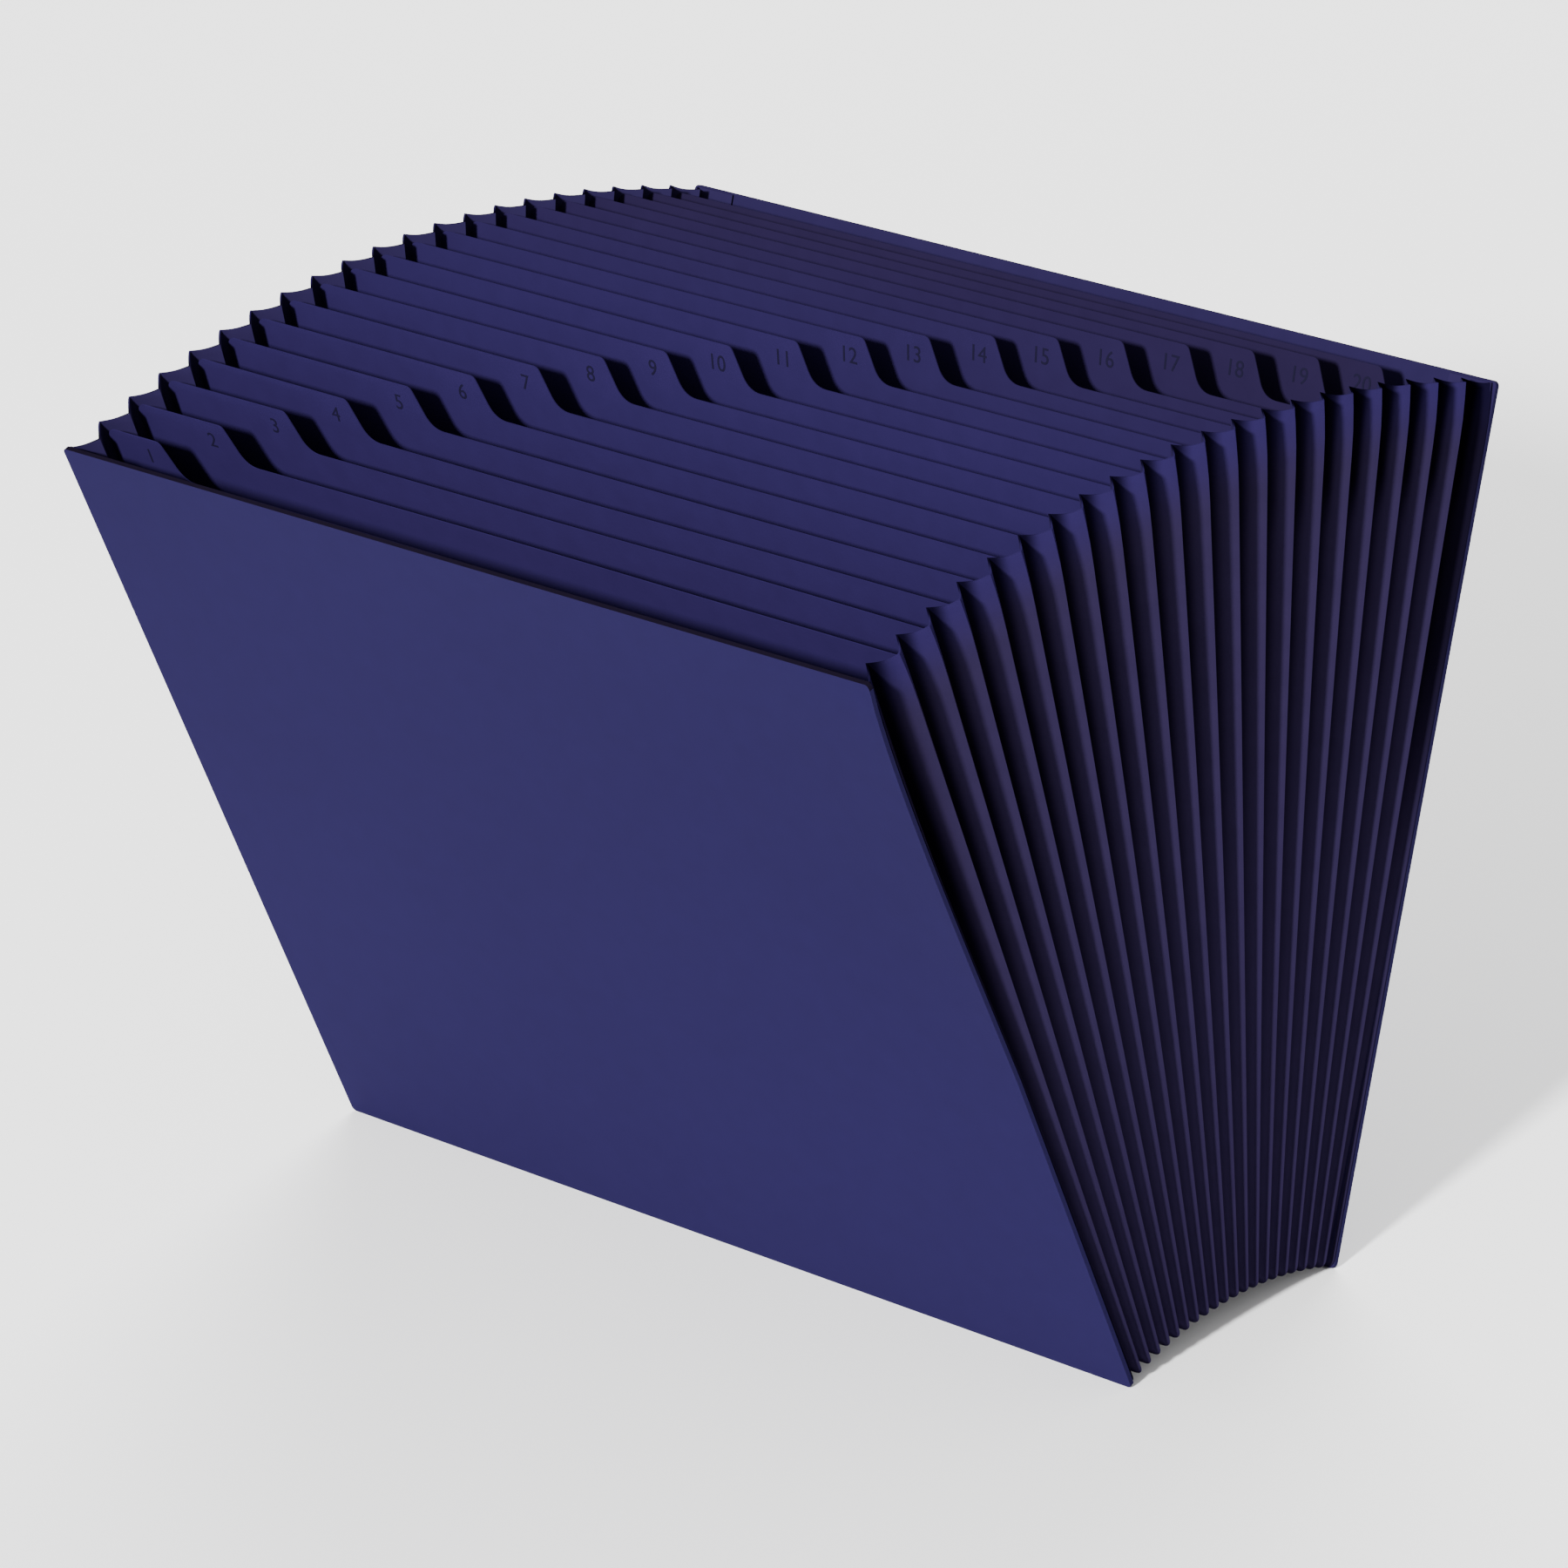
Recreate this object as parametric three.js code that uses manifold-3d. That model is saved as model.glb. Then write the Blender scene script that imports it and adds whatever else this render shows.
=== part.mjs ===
// An expanding file folder standing fanned open: two stiff covers, twenty stepped index dividers
// between them, and one pleated gusset that runs down the left side, under the bottom and up the
// right side and closes all the pockets.
// Millimetres. +X runs along the width, -Y is the front, +Z is up. The origin is on the surface that
// the folder stands on, midway between the two covers.
import * as THREE from "three";
import { mergeVertices } from "three/addons/utils/BufferGeometryUtils.js";
import Module from "manifold-3d";

const wasm = await Module();
wasm.setup();

// Overall form
const coverWidth = 305;
const coverHeight = 254;
const coverThickness = 1.4;
const pocketCount = 21;
const footSpread = 86; // between the two covers' lower edges
const fanHalfAngle = THREE.MathUtils.degToRad(19.7); // lean of each cover

// Corner radii of the covers
const coverTopRadius = 1.5;
const coverFootRadius = 1.5;

// Pleated gusset
const panelWidth = 9.5; // from an outer fold to the next inner fold
const gussetThickness = 0.4;
const gussetCornerRadius = 5; // of an outer fold, where it turns under the bottom
const innerCornerRadius = 0.8; // of an inner fold at the same place
const gussetTopDrop = 0.5; // below the covers' top edge
const flangeWidth = 16; // margin glued to the inside of each cover
const glueGap = 0.3;

// Dividers
const dividerThickness = 0.3;
const foldGap = 0.3; // between a divider's edge and the fold that holds it
const tabLevelDrop = 2; // from the covers' top edge to the dividers' high edge
const tabHeight = 12.2; // from the low edge up to the high edge
const tabPitch = 13.13; // how far each divider's high edge reaches past the one in front
const firstTabReach = 25; // from the covers' left edge to the end of the first high edge
const tabSlope = 5.5; // how far the step leans as it comes down from the high edge
const tabShoulder = 1.6; // rounding of the step's top, each way from the corner
const tabFootReach = 4.5; // rounding of the step's foot, each way from the corner
const dividerTopRadius = 3;
const dividerFootRadius = 1;

// Worked out from the sizes above
const footRadius = footSpread / 2 / Math.sin(fanHalfAngle);
const topRadius = footRadius + coverHeight;
const fanCentreHeight =
  coverThickness * Math.sin(fanHalfAngle) - footRadius * Math.cos(fanHalfAngle);
const pocketAngle = (2 * fanHalfAngle) / pocketCount;
const halfWidth = coverWidth / 2;
const gussetTop = topRadius - gussetTopDrop;

// Counts that only set how finely the gusset is faceted
const sideSteps = 5;
const cornerSteps = 3;

const material = (color, roughness) =>
  new THREE.MeshStandardMaterial({ color, roughness, metalness: 0 });
const coverBoard = material(0x33356a, 0.62);
const gussetPaper = material(0x2f2c52, 0.7);
const dividerPaper = material(0x343262, 0.68);

// Angle of the plane of cover or divider k, counted from the front cover, which is 0.
const planeAngle = (k) => -fanHalfAngle + k * pocketAngle;

// A point given in a plane of the fan: x along the width, n off the plane, r from the fan's centre.
function fanPoint(x, n, r, angle) {
  const y = n * Math.cos(angle) + r * Math.sin(angle);
  const z = fanCentreHeight - n * Math.sin(angle) + r * Math.cos(angle);
  return new THREE.Vector3(x, y, z);
}

// How far a pleat reaches in from the outer folds, at a distance r from the fan's centre.
const pleatDepth = (r) => Math.sqrt(panelWidth ** 2 - (r * pocketAngle / 2) ** 2);

// The gusset's thickness measured across the folds, which is more where the pleats are closed.
const thicknessAcross = (r) => (gussetThickness * panelWidth) / (r * pocketAngle / 2);

// How far in from the outer folds a divider's edge sits, clear of both panels of its fold.
function dividerInset() {
  const slope = (footRadius * pocketAngle / 2) / pleatDepth(footRadius);
  const halfOpening = dividerThickness / 2 + foldGap * Math.hypot(1, slope);
  return thicknessAcross(footRadius) + halfOpening / slope;
}

// A mesh's geometry as a solid for joining, and a solid's mesh back as a geometry.
function toSolid(geometry) {
  const bare = geometry.clone();
  bare.deleteAttribute("normal");
  bare.deleteAttribute("uv");
  const merged = mergeVertices(bare, 1e-4);
  return new wasm.Manifold(
    new wasm.Mesh({
      numProp: 3,
      vertProperties: merged.attributes.position.array,
      triVerts: new Uint32Array(merged.index.array),
    }),
  );
}

function toGeometry(solid) {
  const mesh = solid.getMesh();
  const geometry = new THREE.BufferGeometry();
  geometry.setAttribute("position", new THREE.BufferAttribute(mesh.vertProperties, 3));
  geometry.setIndex(new THREE.BufferAttribute(mesh.triVerts, 1));
  geometry.computeVertexNormals();
  return geometry;
}

// Draws a flat outline in a plane of the fan and gives it a thickness, from n = low upwards.
function plate(shape, low, thickness, curveSegments = 6) {
  const geometry = new THREE.ExtrudeGeometry(shape, {
    depth: thickness,
    bevelEnabled: false,
    curveSegments,
  });
  // The outline's height becomes r, and its extrusion becomes n.
  const place = new THREE.Matrix4().makeBasis(
    new THREE.Vector3(1, 0, 0),
    new THREE.Vector3(0, 0, 1),
    new THREE.Vector3(0, -1, 0),
  );
  geometry.applyMatrix4(place);
  geometry.translate(0, low + thickness, 0);
  return geometry;
}

// Puts a mesh that is drawn in plane coordinates into the plane at an angle of the fan.
function inPlane(mesh, angle) {
  mesh.position.set(0, 0, fanCentreHeight);
  mesh.rotation.x = -angle;
  return mesh;
}

function roundedPlate(halfX, bottom, top, footRound, topRound) {
  const shape = new THREE.Shape();
  shape.moveTo(-halfX + footRound, bottom);
  shape.lineTo(halfX - footRound, bottom);
  shape.absarc(halfX - footRound, bottom + footRound, footRound, -Math.PI / 2, 0);
  shape.lineTo(halfX, top - topRound);
  shape.absarc(halfX - topRound, top - topRound, topRound, 0, Math.PI / 2);
  shape.lineTo(-halfX + topRound, top);
  shape.absarc(-halfX + topRound, top - topRound, topRound, Math.PI / 2, Math.PI);
  shape.lineTo(-halfX, bottom + footRound);
  shape.absarc(-halfX + footRound, bottom + footRound, footRound, Math.PI, 1.5 * Math.PI);
  return shape;
}

// Front cover: side -1 puts the board's thickness in front of its plane. Back cover: side 1.
function cover(name, side) {
  const outline = roundedPlate(
    halfWidth, footRadius, topRadius, coverFootRadius, coverTopRadius);
  const low = side < 0 ? -coverThickness : 0;
  const mesh = new THREE.Mesh(plate(outline, low, coverThickness), coverBoard);
  mesh.name = name;
  return inPlane(mesh, side * fanHalfAngle);
}

// Divider k: a card whose top edge is high on the left and steps down at the right of its tab. Each
// step is one tab's pitch further right than on the divider in front.
function divider(k) {
  const inset = dividerInset();
  const halfX = halfWidth - inset;
  const bottom = footRadius + inset;
  const high = topRadius - tabLevelDrop;
  const low = high - tabHeight;
  const stepStart = -halfWidth + firstTabReach + (k - 1) * tabPitch;
  const stepEnd = stepStart + tabSlope;
  const footRound = dividerFootRadius;
  const topRound = dividerTopRadius;
  const shape = new THREE.Shape();
  shape.moveTo(-halfX + footRound, bottom);
  shape.lineTo(halfX - footRound, bottom);
  shape.absarc(halfX - footRound, bottom + footRound, footRound, -Math.PI / 2, 0);
  shape.lineTo(halfX, low - topRound);
  shape.absarc(halfX - topRound, low - topRound, topRound, 0, Math.PI / 2);
  // A fillet at the foot of the step, a straight slope and a small round at the shoulder.
  const slopeX = tabSlope / Math.hypot(tabSlope, tabHeight);
  const slopeY = tabHeight / Math.hypot(tabSlope, tabHeight);
  shape.lineTo(stepEnd + tabFootReach, low);
  shape.quadraticCurveTo(
    stepEnd, low, stepEnd - slopeX * tabFootReach, low + slopeY * tabFootReach);
  shape.lineTo(stepStart + slopeX * tabShoulder, high - slopeY * tabShoulder);
  shape.quadraticCurveTo(stepStart, high, stepStart - tabShoulder, high);
  shape.lineTo(-halfX + topRound, high);
  shape.absarc(-halfX + topRound, high - topRound, topRound, Math.PI / 2, Math.PI);
  shape.lineTo(-halfX, bottom + footRound);
  shape.absarc(-halfX + footRound, bottom + footRound, footRound, Math.PI, 1.5 * Math.PI);
  const geometry = plate(shape, -dividerThickness / 2, dividerThickness, 5);
  const mesh = new THREE.Mesh(geometry, dividerPaper);
  mesh.name = `divider_${String(k).padStart(2, "0")}`;
  return inPlane(mesh, planeAngle(k));
}

// Points of one fold line of the gusset, in plane coordinates (x, r), from the left top, down, under
// the bottom and up to the right top. insetAt(r) says how far in from the outline the line runs.
function foldLine(insetAt) {
  const footInset = insetAt(footRadius);
  const round = Math.max(gussetCornerRadius - footInset, innerCornerRadius);
  const cornerHeight = footRadius + footInset + round;
  const left = [];
  for (let i = 0; i <= sideSteps; i++) {
    const t = i / sideSteps;
    const r = THREE.MathUtils.lerp(gussetTop, cornerHeight, t);
    const depthRadius = THREE.MathUtils.lerp(gussetTop, footRadius, t);
    left.push([-halfWidth + insetAt(depthRadius), r]);
  }
  const centreX = -halfWidth + footInset + round;
  for (let i = 1; i <= cornerSteps; i++) {
    const turn = (i / cornerSteps) * (Math.PI / 2);
    left.push([centreX - round * Math.cos(turn), cornerHeight - round * Math.sin(turn)]);
  }
  const right = left.map(([x, r]) => [-x, r]).reverse();
  return [...left, ...right];
}

// The gusset's folds in order from the front: an outer fold in the plane of each cover and divider,
// and an inner fold midway between two of them.
function gussetFolds() {
  const folds = [];
  for (let i = 0; i <= 2 * pocketCount; i++) {
    const inner = i % 2 === 1;
    const depth = (r) => (inner ? pleatDepth(r) : 0);
    // The first and last folds lie in the margins glued to the covers.
    const end = i === 0 ? 1 : i === 2 * pocketCount ? -1 : 0;
    const n = end * (glueGap + gussetThickness / 2);
    const angle = planeAngle(i / 2);
    const place = ([x, r]) => fanPoint(x, n, r, angle);
    folds.push({
      outside: foldLine(depth).map(place),
      inside: foldLine((r) => depth(r) + thicknessAcross(r)).map(place),
    });
  }
  return folds;
}

// The pleated sheet as one closed skin over its outside and inside points.
function pleatedSheet() {
  const folds = gussetFolds();
  const columns = folds[0].outside.length;
  const rows = folds.length;
  const points = [];
  for (const side of ["outside", "inside"]) {
    for (const fold of folds) points.push(...fold[side]);
  }
  const at = (side, row, column) => (side * rows + row) * columns + column;
  const index = [];
  const quad = (a, b, c, d) => index.push(a, c, b, a, d, c);
  for (let i = 0; i + 1 < rows; i++) {
    for (let j = 0; j + 1 < columns; j++) {
      quad(at(0, i, j), at(0, i, j + 1), at(0, i + 1, j + 1), at(0, i + 1, j));
      quad(at(1, i, j), at(1, i + 1, j), at(1, i + 1, j + 1), at(1, i, j + 1));
    }
  }
  const last = columns - 1;
  for (let i = 0; i + 1 < rows; i++) {
    quad(at(0, i, 0), at(0, i + 1, 0), at(1, i + 1, 0), at(1, i, 0));
    quad(at(0, i, last), at(1, i, last), at(1, i + 1, last), at(0, i + 1, last));
  }
  for (let j = 0; j + 1 < columns; j++) {
    quad(at(0, 0, j), at(1, 0, j), at(1, 0, j + 1), at(0, 0, j + 1));
    quad(at(0, rows - 1, j), at(0, rows - 1, j + 1), at(1, rows - 1, j + 1), at(1, rows - 1, j));
  }
  const geometry = new THREE.BufferGeometry();
  geometry.setAttribute(
    "position", new THREE.Float32BufferAttribute(points.flatMap((p) => p.toArray()), 3));
  geometry.setIndex(index);
  return geometry;
}

// The U-shaped margin by which the gusset is glued to the inside of one cover.
function flange(side) {
  const outline = (inset, round) => {
    const x = halfWidth - inset;
    const bottom = footRadius + inset;
    return { x, bottom, round };
  };
  const outer = outline(0, gussetCornerRadius);
  const inner = outline(flangeWidth, innerCornerRadius);
  const shape = new THREE.Shape();
  shape.moveTo(-outer.x, gussetTop);
  shape.lineTo(-outer.x, outer.bottom + outer.round);
  shape.absarc(-outer.x + outer.round, outer.bottom + outer.round, outer.round,
    Math.PI, 1.5 * Math.PI);
  shape.lineTo(outer.x - outer.round, outer.bottom);
  shape.absarc(outer.x - outer.round, outer.bottom + outer.round, outer.round,
    1.5 * Math.PI, 2 * Math.PI);
  shape.lineTo(outer.x, gussetTop);
  shape.lineTo(inner.x, gussetTop);
  shape.lineTo(inner.x, inner.bottom);
  shape.lineTo(-inner.x, inner.bottom);
  shape.lineTo(-inner.x, gussetTop);
  const low = side < 0 ? glueGap : -glueGap - gussetThickness;
  const geometry = plate(shape, low, gussetThickness, cornerSteps);
  const placed = inPlane(new THREE.Mesh(geometry), side * fanHalfAngle);
  placed.updateMatrixWorld(true);
  return geometry.applyMatrix4(placed.matrixWorld);
}

function gusset() {
  const solid = toSolid(pleatedSheet()).add(toSolid(flange(-1))).add(toSolid(flange(1)));
  const mesh = new THREE.Mesh(toGeometry(solid), gussetPaper);
  mesh.name = "gusset";
  return mesh;
}

const folder = new THREE.Group();
folder.add(cover("front_cover", -1));
folder.add(gusset());
for (let k = 1; k < pocketCount; k++) folder.add(divider(k));
folder.add(cover("back_cover", 1));

export default folder;
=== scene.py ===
"""The expanding file folder's looks: paper and board materials, the bent cover edge, finely drawn
pleats and cards, index numerals, light and camera."""

import math
from collections import namedtuple

import bpy
import numpy as np
from mathutils import Matrix, Vector


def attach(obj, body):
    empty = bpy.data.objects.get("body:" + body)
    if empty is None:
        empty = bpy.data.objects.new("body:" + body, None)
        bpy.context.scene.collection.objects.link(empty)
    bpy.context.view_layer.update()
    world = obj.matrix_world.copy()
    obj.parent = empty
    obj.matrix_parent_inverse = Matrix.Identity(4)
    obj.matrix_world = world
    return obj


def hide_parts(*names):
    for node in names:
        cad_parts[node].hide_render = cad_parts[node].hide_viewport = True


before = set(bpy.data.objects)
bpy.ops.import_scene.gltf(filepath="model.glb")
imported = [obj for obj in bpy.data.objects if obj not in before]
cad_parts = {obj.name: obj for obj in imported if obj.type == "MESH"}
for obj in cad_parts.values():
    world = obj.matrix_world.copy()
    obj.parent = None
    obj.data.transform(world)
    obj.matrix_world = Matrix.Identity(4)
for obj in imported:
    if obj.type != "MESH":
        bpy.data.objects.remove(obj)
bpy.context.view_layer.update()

# Sizes of the CAD part, in metres. Radii are taken from the line that all planes pass through.
POCKETS = 21
ALPHA = math.radians(19.7)
COVER_H = 0.254
COVER_T = 0.0014
COVER_CORNER = 0.0015
FOOT_SPREAD = 0.086
FOOT_R = FOOT_SPREAD / 2 / math.sin(ALPHA)
TOP_R = FOOT_R + COVER_H
CENTRE_Z = COVER_T * math.sin(ALPHA) - FOOT_R * math.cos(ALPHA)
HALF_W = 0.1525
STEP = 2 * ALPHA / POCKETS
HIGH_R = TOP_R - 0.002
TAB_DROP = 0.0122
LOW_R = HIGH_R - TAB_DROP
FIRST_TAB = 0.025
TAB_PITCH = 0.01313
TAB_SLOPE = 0.0055
DIVIDER_T = 0.0003
SEAT_ROOM = 0.0003
PANEL = 0.0095
SHEET_T = 0.0004
MARGIN = 0.016
GLUE = 0.0003

# Forms that only this script draws, in metres
BEND = 0.0023
BEND_W = 0.05
BEND_H = 0.14
CARD_BOW = 0.0011
PLEAT_SAG = 0.0006
PLEAT_CURL = 0.0012
CURL_H = 0.016
PLEAT_WAVE = 0.00008


def plane_angle(k):
    """The angle of plane k: 0 is the front cover's, POCKETS the back cover's."""
    return -ALPHA + k * STEP


def in_fan(angle, x, n, r):
    """The point at x, n off the plane at this angle and r along it."""
    ca, sa = math.cos(angle), math.sin(angle)
    return (x, n * ca + r * sa, CENTRE_Z - n * sa + r * ca)


def columns(x_axis, y_axis, z_axis, place):
    """The matrix with these columns."""
    return Matrix((*zip(x_axis, y_axis, z_axis, place), (0, 0, 0, 1)))


def fan_matrix(k, x, n, r):
    """A place on plane k: local X along the width, local Y up in the plane, local Z forwards."""
    a = plane_angle(k)
    up = (0, math.sin(a), math.cos(a))
    front = (0, -math.cos(a), math.sin(a))
    return columns((1, 0, 0), up, front, in_fan(a, x, n, r))


# Materials

Spot = namedtuple("Spot", "depth radius angle y")


def srgb(r, g, b):
    """A linear colour from display values of 0 to 255."""
    def lin(c):
        c /= 255
        return c / 12.92 if c <= 0.04045 else ((c + 0.055) / 1.055) ** 2.4
    return (lin(r), lin(g), lin(b), 1)


def new_material(name):
    m = bpy.data.materials.new(name)
    m.use_nodes = True
    tree = m.node_tree
    tree.nodes.clear()
    out = tree.nodes.new("ShaderNodeOutputMaterial")
    shader = tree.nodes.new("ShaderNodeBsdfPrincipled")
    tree.links.new(shader.outputs[0], out.inputs[0])
    return m, tree, shader


def maths(tree, operation, a, b=None):
    """A maths node on numbers or sockets; gives its output."""
    node = tree.nodes.new("ShaderNodeMath")
    node.operation = operation
    for socket, value in zip(node.inputs, (a, b)):
        if isinstance(value, (int, float)):
            socket.default_value = value
        elif value is not None:
            tree.links.new(value, socket)
    return node.outputs[0]


def times(tree, a, b):
    return maths(tree, "MULTIPLY", a, b)


def without(tree, share):
    """What is left of 1 without this share."""
    return maths(tree, "SUBTRACT", 1.0, share)


def ramp(tree, value, low, high, at_low, at_high):
    """A smooth step from at_low to at_high as value goes from low to high."""
    node = tree.nodes.new("ShaderNodeMapRange")
    node.interpolation_type = "SMOOTHSTEP"
    for label, number in (("From Min", low), ("From Max", high),
                          ("To Min", at_low), ("To Max", at_high)):
        node.inputs[label].default_value = number
    tree.links.new(value, node.inputs["Value"])
    return node.outputs["Result"]


def mix(tree, share, a, b):
    """Colour a where share is 0 and colour b where it is 1."""
    node = tree.nodes.new("ShaderNodeMix")
    node.data_type = "RGBA"
    node.inputs["A"].default_value = a
    node.inputs["B"].default_value = b
    tree.links.new(share, node.inputs["Factor"])
    return node.outputs["Result"]


def fan_spot(tree, coord):
    """Where a point lies in the fan: its depth in from the sides or the bottom, its radius and
    angle, and its y."""
    axes = tree.nodes.new("ShaderNodeSeparateXYZ")
    tree.links.new(coord, axes.inputs[0])
    x, y, z = (axes.outputs[c] for c in "XYZ")
    side = maths(tree, "SUBTRACT", HALF_W, maths(tree, "ABSOLUTE", x))
    rise = maths(tree, "SUBTRACT", z, CENTRE_Z)
    squares = maths(tree, "ADD", maths(tree, "POWER", y, 2.0), maths(tree, "POWER", rise, 2.0))
    radius = maths(tree, "SQRT", squares)
    depth = maths(tree, "MINIMUM", side, maths(tree, "SUBTRACT", radius, FOOT_R))
    return Spot(depth, radius, maths(tree, "ARCTAN2", y, rise), y)


def paper(name, color, vary, rough=0.85, bump=0.12, spec=0.0, tone_and_painted_shade=None):
    """Matte dyed paper: fine fibre clouds, a grain bump and dyeing that is uneven by the share
    vary. A function may give the colour and a share of it from the point's place in the fan;
    for the cover and the gusset that share is painted light and shade."""
    grain_scale, fibre_scale, cloud_scale = 900, 140, 9
    m, tree, shader = new_material(name)
    n, link = tree.nodes, tree.links
    coord = n.new("ShaderNodeTexCoord").outputs["Object"]

    def noise(scale, detail):
        node = n.new("ShaderNodeTexNoise")
        node.inputs["Scale"].default_value = scale
        node.inputs["Detail"].default_value = detail
        link.new(coord, node.inputs["Vector"])
        return node.outputs["Fac"]

    span = n.new("ShaderNodeMapRange")
    for label, number in (("From Min", 0.6), ("From Max", 1.4),
                          ("To Min", 1 - vary), ("To Max", 1 + vary)):
        span.inputs[label].default_value = number
    clouds = maths(tree, "ADD", noise(fibre_scale, 6), noise(cloud_scale, 3))
    link.new(clouds, span.inputs["Value"])
    share = span.outputs["Result"]
    tint = n.new("ShaderNodeVectorMath")
    tint.operation = "SCALE"
    tint.inputs[0].default_value = color[:3]
    if tone_and_painted_shade:
        hue, shade = tone_and_painted_shade(tree, color, fan_spot(tree, coord))
        if hue:
            link.new(hue, tint.inputs[0])
        if shade:
            share = times(tree, share, shade)
    link.new(share, tint.inputs["Scale"])
    link.new(tint.outputs[0], shader.inputs["Base Color"])
    relief = n.new("ShaderNodeBump")
    relief.inputs["Strength"].default_value = bump
    relief.inputs["Distance"].default_value = 0.0003
    link.new(noise(grain_scale, 4), relief.inputs["Height"])
    link.new(relief.outputs["Normal"], shader.inputs["Normal"])
    shader.inputs["Roughness"].default_value = rough
    shader.inputs["Specular IOR Level"].default_value = spec
    return m


DIVIDER_BLUE = srgb(29, 22, 55)
REAR_BLUE = srgb(25, 19, 41)


def cover_dye(tree, color, spot):
    """Painted light and shade: a little lighter towards the foot and darker towards the top,
    evening out the lamp's stronger light on the cover's upper part.
    """
    return None, ramp(tree, spot.radius, FOOT_R, TOP_R, 1.07, 0.91)


def divider_dye(tree, color, spot):
    """Greyer towards the back of the fan."""
    return mix(tree, ramp(tree, spot.y, -0.02, 0.125, 0, 1), color, REAR_BLUE), None


def gusset_dye(tree, color, spot):
    """The outside of the pleats: as blue as the dividers at the top, with painted shade deep in
    the folds there, most of all at the back, painted shade next to the covers, and painted
    light and shade that make the folds more even towards the foot."""
    depth, radius, angle, _ = spot
    hue = mix(tree, ramp(tree, radius, TOP_R - 0.022, TOP_R - 0.001, 0, 1), color, DIVIDER_BLUE)
    # Painted shade deep in the folds, the more the higher up
    deep = ramp(tree, depth, 0.003, 0.0064, 0, 1)
    strength = ramp(tree, radius, FOOT_R + 0.06, TOP_R - 0.05, 0, 0.85)
    painted_shade = without(tree, times(tree, deep, strength))
    # Painted shade: the tops of the rear folds are nearly black deep inside
    rear = times(tree, ramp(tree, angle, 0.02, 0.2, 0, 0.8),
                 ramp(tree, radius, TOP_R - 0.042, TOP_R - 0.024, 0, 1))
    rear_painted_shade = times(tree, rear, ramp(tree, depth, 0.0026, 0.0046, 0, 1))
    painted_shade = times(tree, painted_shade, without(tree, rear_painted_shade))
    # Painted light and shade: towards the foot the folds' insides are lighter and their tips
    # darker
    low = ramp(tree, radius, FOOT_R, TOP_R - 0.05, 1, 0)
    fold = times(tree, low, ramp(tree, depth, 0.0004, 0.0026, -0.22, 0.8))
    even = maths(tree, "ADD", 1.0, fold)
    # Painted shade on the half pleats next to the covers
    beside = ramp(tree, angle, ALPHA - 0.55 * STEP, ALPHA - 0.4 * STEP, 0, 1)
    upper = ramp(tree, radius, TOP_R - 0.16, TOP_R - 0.07, 0, 0.75)
    last = without(tree, times(tree, beside, upper))
    first = ramp(tree, angle, -ALPHA + 0.5 * STEP, -ALPHA + 0.98 * STEP, 0.45, 1)
    ends = times(tree, first, last)
    return hue, times(tree, times(tree, painted_shade, even), ends)


# The cover's and the gusset's colours carry painted light and shade.
cover_mat = paper("cover_board", srgb(22, 16, 50), 0.05, bump=0.08, spec=0.04, tone_and_painted_shade=cover_dye)
divider_mat = paper("divider_paper", DIVIDER_BLUE, 0.07, tone_and_painted_shade=divider_dye)
edge_mat = paper("cover_top_edge", srgb(14, 10, 21), 0.1)
lining_mat = paper("cover_lining", srgb(28, 22, 50), 0.08)
gusset_mat = paper("gusset_paper", srgb(29, 23, 45), 0.08, tone_and_painted_shade=gusset_dye)
inside_mat = paper("gusset_inside", srgb(30, 24, 52), 0.08)
ink_mat = paper("index_ink", srgb(16, 13, 32), 0.05, rough=0.6, bump=0, spec=0.04)

COVER_MATS = (cover_mat, lining_mat, edge_mat)
LINING, TOP_EDGE = 1, 2


def dress_node(name, mesh):
    """Gives a CAD node its material. A cover's inner face is its lining; its top edge is dark."""
    mesh.materials.clear()
    if "cover" not in name:
        mesh.materials.append(divider_mat if "divider" in name else gusset_mat)
        return
    for material in COVER_MATS:
        mesh.materials.append(material)
    inward = 1 if "front" in name else -1
    facing = Vector((0, inward * math.cos(ALPHA), math.sin(ALPHA)))
    upward = Vector((0, -inward * math.sin(ALPHA), math.cos(ALPHA)))
    for face in mesh.polygons:
        if face.normal.dot(facing) > 0.9:
            face.material_index = LINING
        elif face.normal.dot(upward) > 0.9:
            face.material_index = TOP_EDGE


for node_name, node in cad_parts.items():
    dress_node(node_name, node.data)


# Bent board and paper

def add_piece(name, verts, faces, materials, sharp, node, kinds):
    """A mesh piece that stands for a node. Edges sharper than sharp degrees stay sharp, and kinds
    gives the material number of some faces."""
    mesh = bpy.data.meshes.new(name)
    mesh.from_pydata(verts, [], faces)
    for material in materials:
        mesh.materials.append(material)
    for index, kind in kinds.items():
        mesh.polygons[index].material_index = kind
    mesh.validate()
    mesh.polygons.foreach_set("use_smooth", [True] * len(mesh.polygons))
    mesh.set_sharp_from_angle(angle=math.radians(sharp))
    piece = bpy.data.objects.new(name, mesh)
    bpy.context.collection.objects.link(piece)
    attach(piece, "root")
    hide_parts(node)


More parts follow.
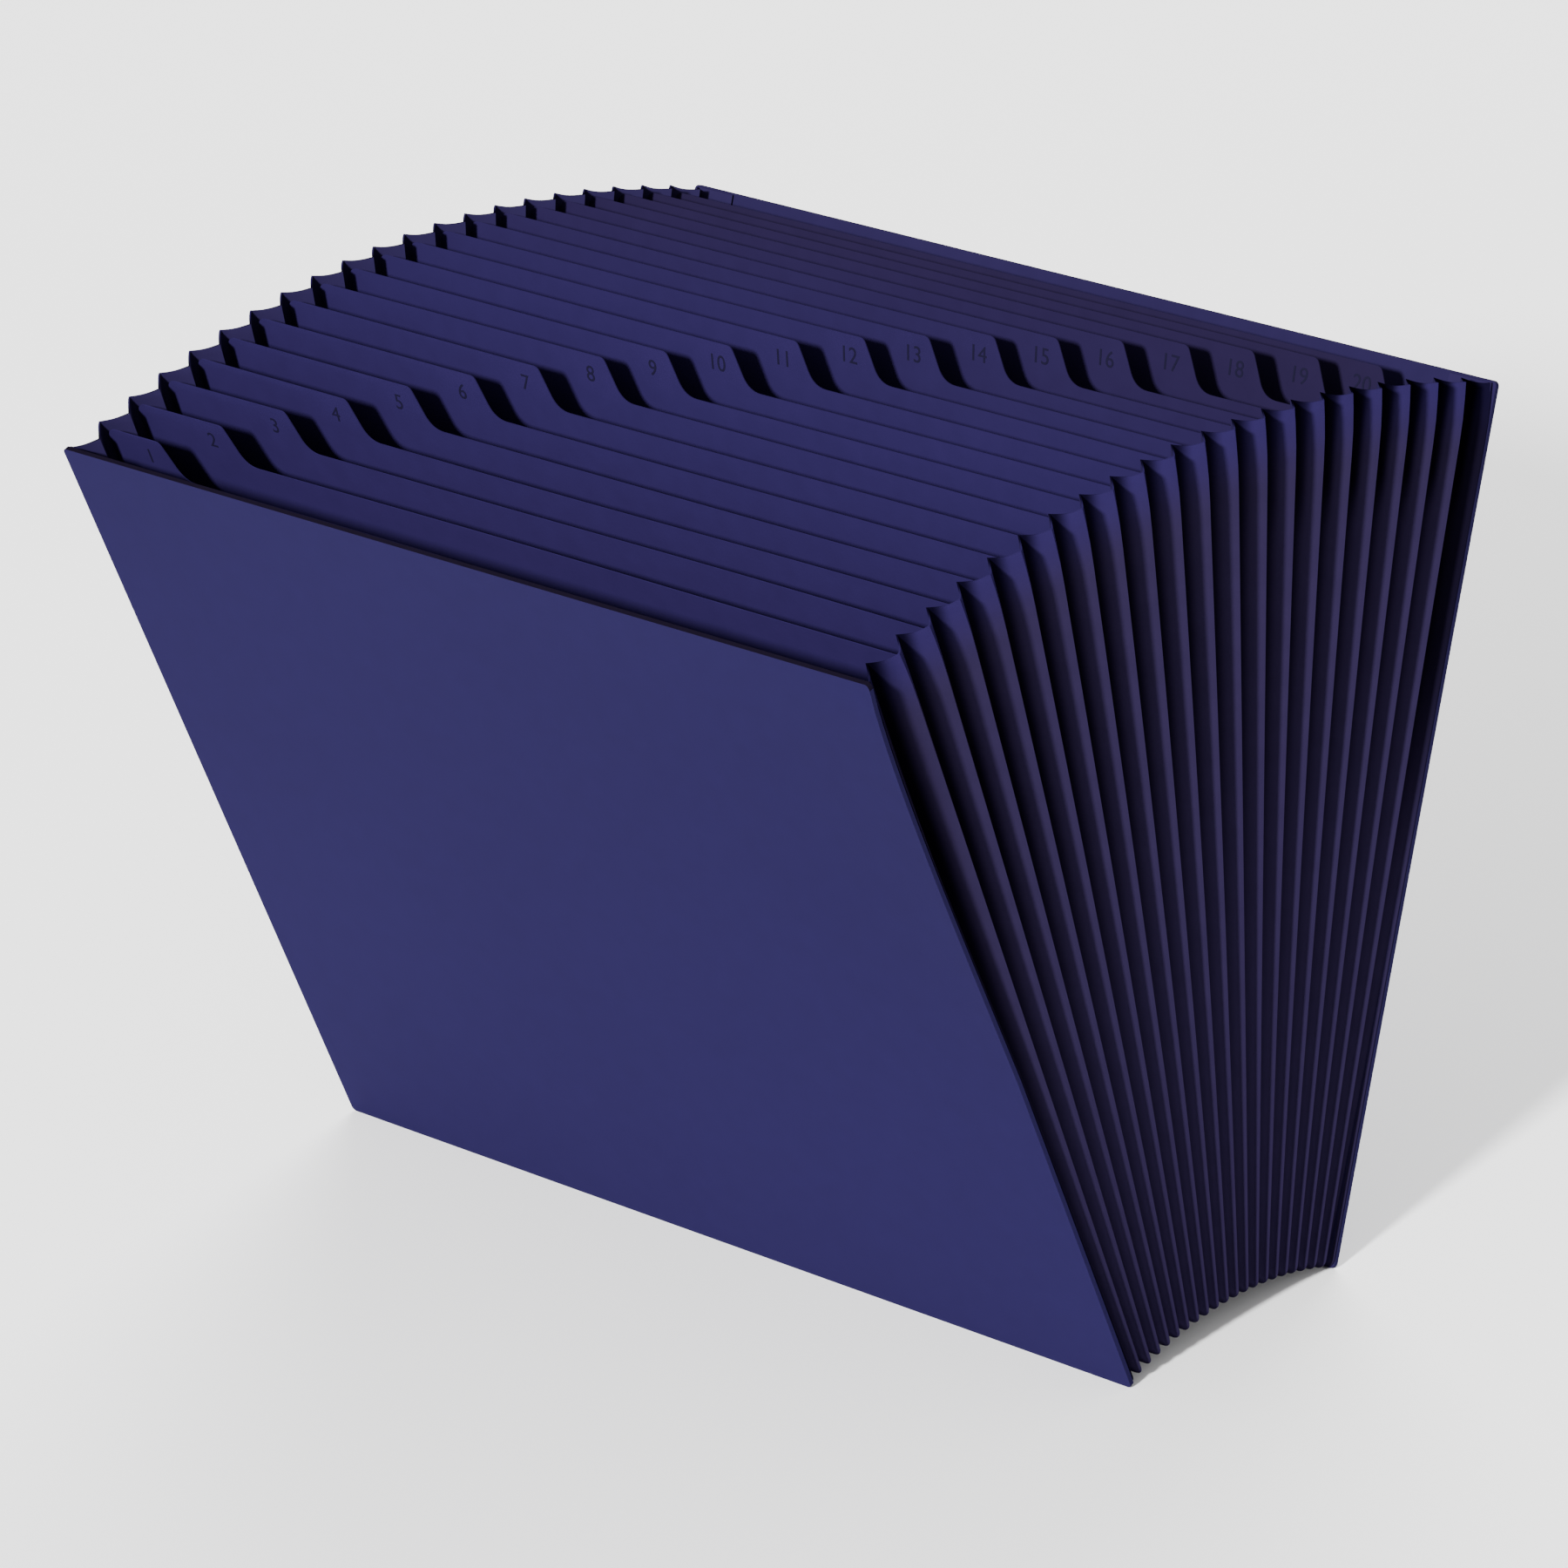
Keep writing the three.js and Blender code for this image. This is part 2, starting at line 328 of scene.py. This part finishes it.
def sheet_faces(lines, count):
    """The faces of a closed thin sheet. Its corners are lines of count points each, first all
    those of its near side and then those of its far side. Gives the faces, the numbers of the far
    faces and those of the edge faces along the lines' last points."""
    def at(side, i, j):
        return (side * lines + i) * count + j

    faces, far, top = [], [], []
    for i in range(lines - 1):
        for j in range(count - 1):
            faces.append((at(0, i, j), at(0, i + 1, j), at(0, i + 1, j + 1), at(0, i, j + 1)))
            far.append(len(faces))
            faces.append((at(1, i, j), at(1, i, j + 1), at(1, i + 1, j + 1), at(1, i + 1, j)))
        faces.append((at(0, i, 0), at(1, i, 0), at(1, i + 1, 0), at(0, i + 1, 0)))
        top.append(len(faces))
        j = count - 1
        faces.append((at(0, i + 1, j), at(1, i + 1, j), at(1, i, j), at(0, i, j)))
    for j in range(count - 1):
        for i, turn in ((0, -1), (lines - 1, 1)):
            edge = (at(0, i, j), at(1, i, j), at(1, i, j + 1), at(0, i, j + 1))
            faces.append(edge[::turn])
    return faces, far, top


def slab(cols, angle, near, far, bend, share):
    """The corners of a thin sheet on the plane at this angle, between near and far off it. cols
    are (x, foot r, top r) from left to right, share the places up each column, and bend(x, r)
    moves it off the plane."""
    verts = []
    for n in (near, far):
        for x, r0, r1 in cols:
            for t in share:
                r = r0 + (r1 - r0) * t
                verts.append(in_fan(angle, x, n + bend(x, r), r))
    return verts


def edge_bow(x, r):
    """How far the front cover's right edge stands out, below its top corner."""
    u = min(max((x - HALF_W + BEND_W) / BEND_W, 0), 1)
    s = (TOP_R - r) / BEND_H
    return BEND * u * u * math.sin(math.pi * min(max(s, 0), 1) ** 0.6)


def front_board():
    """The front cover with its bent right edge."""
    rounds, rows = 5, 40
    coarse, fine = 0.0235, 0.0035
    turns = [math.pi / 2 * i / rounds for i in range(rounds + 1)]
    xs = [-HALF_W + COVER_CORNER * (1 - math.cos(a)) for a in turns]
    xs += [-HALF_W + 0.01 + coarse * i for i in range(11)]
    xs += [HALF_W - 0.0505 + fine * i for i in range(15)]
    xs += [HALF_W - COVER_CORNER * (1 - math.sin(a)) for a in turns]
    cols = []
    for x in sorted(set(round(x, 7) for x in xs if abs(x) <= HALF_W)):
        edge = max(0.0, COVER_CORNER - (HALF_W - abs(x)))
        cut = COVER_CORNER - math.sqrt(max(0.0, COVER_CORNER ** 2 - edge ** 2))
        cols.append((x, FOOT_R + cut, TOP_R - cut))
    share = [i / rows for i in range(rows + 1)]
    verts = slab(cols, -ALPHA, -COVER_T, 0, lambda x, r: -edge_bow(x, r), share)
    faces, inner, top = sheet_faces(len(cols), len(share))
    kinds = {**dict.fromkeys(inner, LINING), **dict.fromkeys(top, TOP_EDGE)}
    add_piece("front_board", verts, faces, COVER_MATS, 35, "front_cover", kinds)


front_board()


# Gusset

def fold_gusset():
    """The pleated gusset drawn finely: panels that bow a little outwards between the folds, outer
    folds that curl in at their tops, and margins glued to the covers. It keeps the form of the
    solid that it stands for."""
    rng = np.random.default_rng(7)
    top = TOP_R - 0.0005
    lift = GLUE + SHEET_T / 2
    corner_turn, least_turn = 0.003, 0.0008
    margin_insets = (MARGIN, MARGIN / 2, 0.0012)
    side_steps, corner_steps, foot_steps, panel_steps = 26, 7, 9, 7
    t_side = np.linspace(0, 1, side_steps + 1) ** 1.25
    # For each panel, how much it waves along its length; the last two columns aren't used
    wobble = rng.normal(0, 1, (POCKETS * 2 + 1, 4))

    def depth(r):
        """How deep the pleats are at this radius."""
        return math.sqrt(PANEL ** 2 - (r * STEP / 2) ** 2)

    def across(r):
        """How far apart the sheet's two faces are there, seen from the side."""
        return SHEET_T * PANEL / (r * STEP / 2)

    def around(inset, side):
        """A line this far in from the edges at the bottom: down the left side, whose points
        side(t, r) gives, round the corner, under the bottom and up the right side."""
        turn = max(corner_turn - inset, least_turn)
        cx = -HALF_W + inset + turn
        corner_r = FOOT_R + inset + turn
        left = [side(t, top + (corner_r - top) * t) for t in t_side]
        for i in range(1, corner_steps + 1):
            a = i / corner_steps * math.pi / 2
            left.append((cx - turn * math.cos(a), corner_r - turn * math.sin(a)))
        foot = [(cx * (1 - 2 * i / foot_steps), FOOT_R + inset) for i in range(1, foot_steps)]
        return left + foot + [(-x, r) for x, r in reversed(left)]

    def pleat_line(number, run, thick):
        """A line along the pleats: number is its place in the fan in pockets, run how far in it
        is along its panel, from 0 at the outer fold to 1 at the inner one, and thick is 0 on the
        outer face and 1 on the inner one."""
        share = run ** 1.16
        wave = wobble[int(number * 2 - 1e-6)]
        mid_panel = math.sin(math.pi * run)

        def side(t, r):
            r -= PLEAT_SAG * mid_panel * max(0, 1 - 9 * t)
            flat_r = top + (FOOT_R - top) * t
            d = depth(flat_r) * share + thick * across(flat_r)
            near_top = max(0.0, 1 - (top - r) / CURL_H)
            d += PLEAT_CURL * near_top ** 2 * (1 - run)
            bend = wave[0] * math.sin(math.pi * t) + wave[1] * math.sin(2 * math.pi * t)
            d += PLEAT_WAVE * bend * mid_panel
            return -HALF_W + d, r

        return around(depth(FOOT_R) * share + thick * across(FOOT_R), side)

    def margin_line(inset):
        """A line of the glued margin, this far in from the cover's edge."""
        return around(inset, lambda t, r: (-HALF_W + inset, r))

    def place(number, line, n):
        """The line's points in space, n off their plane; the first pleat follows the bent edge."""
        follow = max(0.0, 1 - number)
        return [in_fan(plane_angle(number), x, n - follow * edge_bow(x, r), r) for x, r in line]

    outer, inner = [], []
    for inset in margin_insets:
        line = margin_line(inset)
        outer += place(0, line, lift - SHEET_T / 2)
        inner += place(0, line, lift + SHEET_T / 2)
    runs = [j / panel_steps for j in range(panel_steps)]
    panels = [(i / 2 + s / 2, 1 - s if i % 2 else s) for i in range(POCKETS * 2) for s in runs]
    for number, run in panels + [(POCKETS, 0.0)]:
        n = lift if number == 0 else -lift if number == POCKETS else 0
        outer += place(number, pleat_line(number, run, 0), n)
        inner += place(number, pleat_line(number, run, 1), n)
    for inset in reversed(margin_insets):
        line = margin_line(inset)
        outer += place(POCKETS, line, -lift + SHEET_T / 2)
        inner += place(POCKETS, line, -lift - SHEET_T / 2)
    count = len(line)
    faces, inside, _ = sheet_faces(len(outer) // count, count)
    add_piece("gusset_folds", outer + inner, faces, (gusset_mat, inside_mat), 38, "gusset",
              dict.fromkeys(inside, 1))


fold_gusset()


# Dividers

dice = np.random.default_rng(21)
BOW = [dice.uniform(-1, 1, 4) for _ in range(POCKETS + 1)]


def bow(k, x, r):
    """How far divider k's card stands off its plane: a slight natural bow that dies out at the
    folds that hold it."""
    u = (x + HALF_W) / (2 * HALF_W)
    v = (r - FOOT_R) / (TOP_R - FOOT_R)
    hold = math.sin(math.pi * min(max(u, 0), 1)) ** 0.8
    a, b, c, d = BOW[k]
    wave = 0.55 * a + 0.3 * b * math.sin(2 * math.pi * u) + 0.2 * c * math.sin(3 * math.pi * u)
    return CARD_BOW * hold * v ** 1.6 * (wave + 0.25 * d * math.sin(2.6 * math.pi * v))


def divider_inset():
    """How far a card's sides and foot stay in from the edges, seated in an outer fold."""
    half = FOOT_R * STEP / 2
    slope = half / math.sqrt(PANEL ** 2 - half ** 2)
    opening = DIVIDER_T / 2 + SEAT_ROOM * math.hypot(1, slope)
    return SHEET_T * PANEL / half + opening / slope


def tab_end(k):
    """Where divider k's high edge ends."""
    return -HALF_W + FIRST_TAB + (k - 1) * TAB_PITCH


def top_edge(k, half_x):
    """The divider's top edge from left to right, as (x, r) points."""
    corner, shoulder, sweep, pace = 0.003, 0.0016, 0.0045, 0.006
    x0 = tab_end(k)
    x1 = x0 + TAB_SLOPE
    size = math.hypot(TAB_SLOPE, TAB_DROP)
    sx, sy = TAB_SLOPE / size, TAB_DROP / size

    def arc(cx, cy, a0, a1):
        angles = (a0 + (a1 - a0) * i / 6 for i in range(7))
        return [(cx + corner * math.cos(a), cy + corner * math.sin(a)) for a in angles]

    def curve(p, q, w, n):
        return [((1 - t) ** 2 * p[0] + 2 * t * (1 - t) * q[0] + t * t * w[0],
                 (1 - t) ** 2 * p[1] + 2 * t * (1 - t) * q[1] + t * t * w[1])
                for t in (i / n for i in range(n + 1))]

    def run(xa, xb, r):
        n = max(2, int((xb - xa) / pace))
        return [(xa + (xb - xa) * i / n, r) for i in range(1, n)]

    pts = arc(-half_x + corner, HIGH_R - corner, math.pi, math.pi / 2)
    pts += run(-half_x + corner, x0 - shoulder, HIGH_R)
    pts += curve((x0 - shoulder, HIGH_R), (x0, HIGH_R),
                 (x0 + sx * shoulder, HIGH_R - sy * shoulder), 5)
    pts += curve((x1 - sx * sweep, LOW_R + sy * sweep), (x1, LOW_R), (x1 + sweep, LOW_R), 8)
    pts += run(x1 + sweep, half_x - corner, LOW_R)
    pts += arc(half_x - corner, LOW_R - corner, math.pi / 2, 0)
    return pts


def card(k):
    """One divider with its card's slight bow; it stands for the flat solid."""
    foot_corner, rows = 0.001, 14
    inset = divider_inset()
    half_x = HALF_W - inset
    foot = FOOT_R + inset
    cols = []
    for x, r in top_edge(k, half_x):
        edge = max(0.0, foot_corner - (half_x - abs(x)))
        cols.append((x, foot + foot_corner - math.sqrt(foot_corner ** 2 - edge ** 2), r))
    share = [1 - (1 - i / rows) ** 1.3 for i in range(rows + 1)]
    verts = slab(cols, plane_angle(k), -DIVIDER_T / 2, DIVIDER_T / 2,
                 lambda x, r: bow(k, x, r), share)
    faces, _, _ = sheet_faces(len(cols), len(share))
    add_piece(f"card_{k:02d}", verts, faces, (divider_mat,), 35, f"divider_{k:02d}",
              {})


for divider in range(1, POCKETS):
    card(divider)


# Index numerals

def numerals():
    """The number printed on the front of each divider's tab, as one thin piece."""
    size, ink, off_card = 0.0068, 0.00002, 0.00006
    left_of_end, below_edge = 0.0058, 0.0062
    parts = []
    for k in range(1, POCKETS):
        text = bpy.data.curves.new(f"number_{k}", "FONT")
        text.body = str(k)
        text.size = size
        text.align_x = "CENTER"
        text.align_y = "CENTER"
        text.extrude = ink
        obj = bpy.data.objects.new(f"number_{k}", text)
        bpy.context.collection.objects.link(obj)
        x = tab_end(k) - left_of_end
        r = HIGH_R - below_edge
        obj.matrix_world = fan_matrix(k, x, bow(k, x, r) - DIVIDER_T / 2 - off_card, r)
        parts.append(obj)
    bpy.context.view_layer.update()
    bpy.ops.object.select_all(action="DESELECT")
    for obj in parts:
        obj.select_set(True)
    bpy.context.view_layer.objects.active = parts[0]
    bpy.ops.object.convert(target="MESH")
    bpy.ops.object.join()
    piece = bpy.context.view_layer.objects.active
    bpy.ops.object.transform_apply(location=True, rotation=True, scale=True)
    piece.name = "index_numbers"
    piece.data.name = "index_numbers"
    piece.data.materials.clear()
    piece.data.materials.append(ink_mat)
    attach(piece, "root")


numerals()


# Floor, light and camera

def stage():
    """A pale floor, an even pale sky, a small lamp in front and a broad soft one behind."""
    bpy.ops.mesh.primitive_plane_add(size=30, location=(0, 0, 0))
    floor = bpy.context.object
    floor.name = "floor"
    m, _, shader = new_material("floor")
    shader.inputs["Base Color"].default_value = (0.9, 0.9, 0.9, 1)
    shader.inputs["Roughness"].default_value = 0.9
    shader.inputs["Specular IOR Level"].default_value = 0.1
    floor.data.materials.append(m)

    world = bpy.data.worlds.new("studio")
    bpy.context.scene.world = world
    world.use_nodes = True
    sky = world.node_tree.nodes["Background"]
    sky.inputs["Color"].default_value = (1, 1, 1, 1)
    sky.inputs["Strength"].default_value = 0.85

    def lamp(name, direction, distance, size, power):
        data = bpy.data.lights.new(name, "AREA")
        data.shape = "DISK"
        data.size = size
        data.energy = power
        obj = bpy.data.objects.new(name, data)
        bpy.context.collection.objects.link(obj)
        aim = Vector((0, 0, 0.13))
        obj.location = aim + Vector(direction).normalized() * distance
        obj.rotation_euler = (aim - obj.location).to_track_quat("-Z", "Y").to_euler()

    lamp("key", (0.18, -0.868, 0.46), 5.0, 0.6, 810)
    lamp("back", (-0.5, 0.8, 0.4), 5.0, 4.0, 620)


def camera():
    """Placed by fitting the covers' corners as the photo shows them. The angles are in radians
    and the focal length is in the photo's pixels."""
    photo_side, sensor = 1800, 36
    yaw, pitch, roll, focal = -0.7742, 0.4066, -0.0705, 9570.46
    place = (1.5124235, -1.5543006, 1.0615395)
    forward = Vector((
        math.sin(yaw) * math.cos(pitch), math.cos(yaw) * math.cos(pitch), -math.sin(pitch)))
    level = forward.cross(Vector((0, 0, 1))).normalized()
    upright = level.cross(forward)
    right = level * math.cos(roll) + upright * math.sin(roll)
    up = upright * math.cos(roll) - level * math.sin(roll)
    data = bpy.data.cameras.new("camera")
    data.sensor_width = sensor
    data.lens = focal / photo_side * sensor
    data.clip_end = 60
    obj = bpy.data.objects.new("camera", data)
    bpy.context.collection.objects.link(obj)
    obj.matrix_world = columns(right, up, -forward, place)
    bpy.context.scene.camera = obj


stage()
camera()
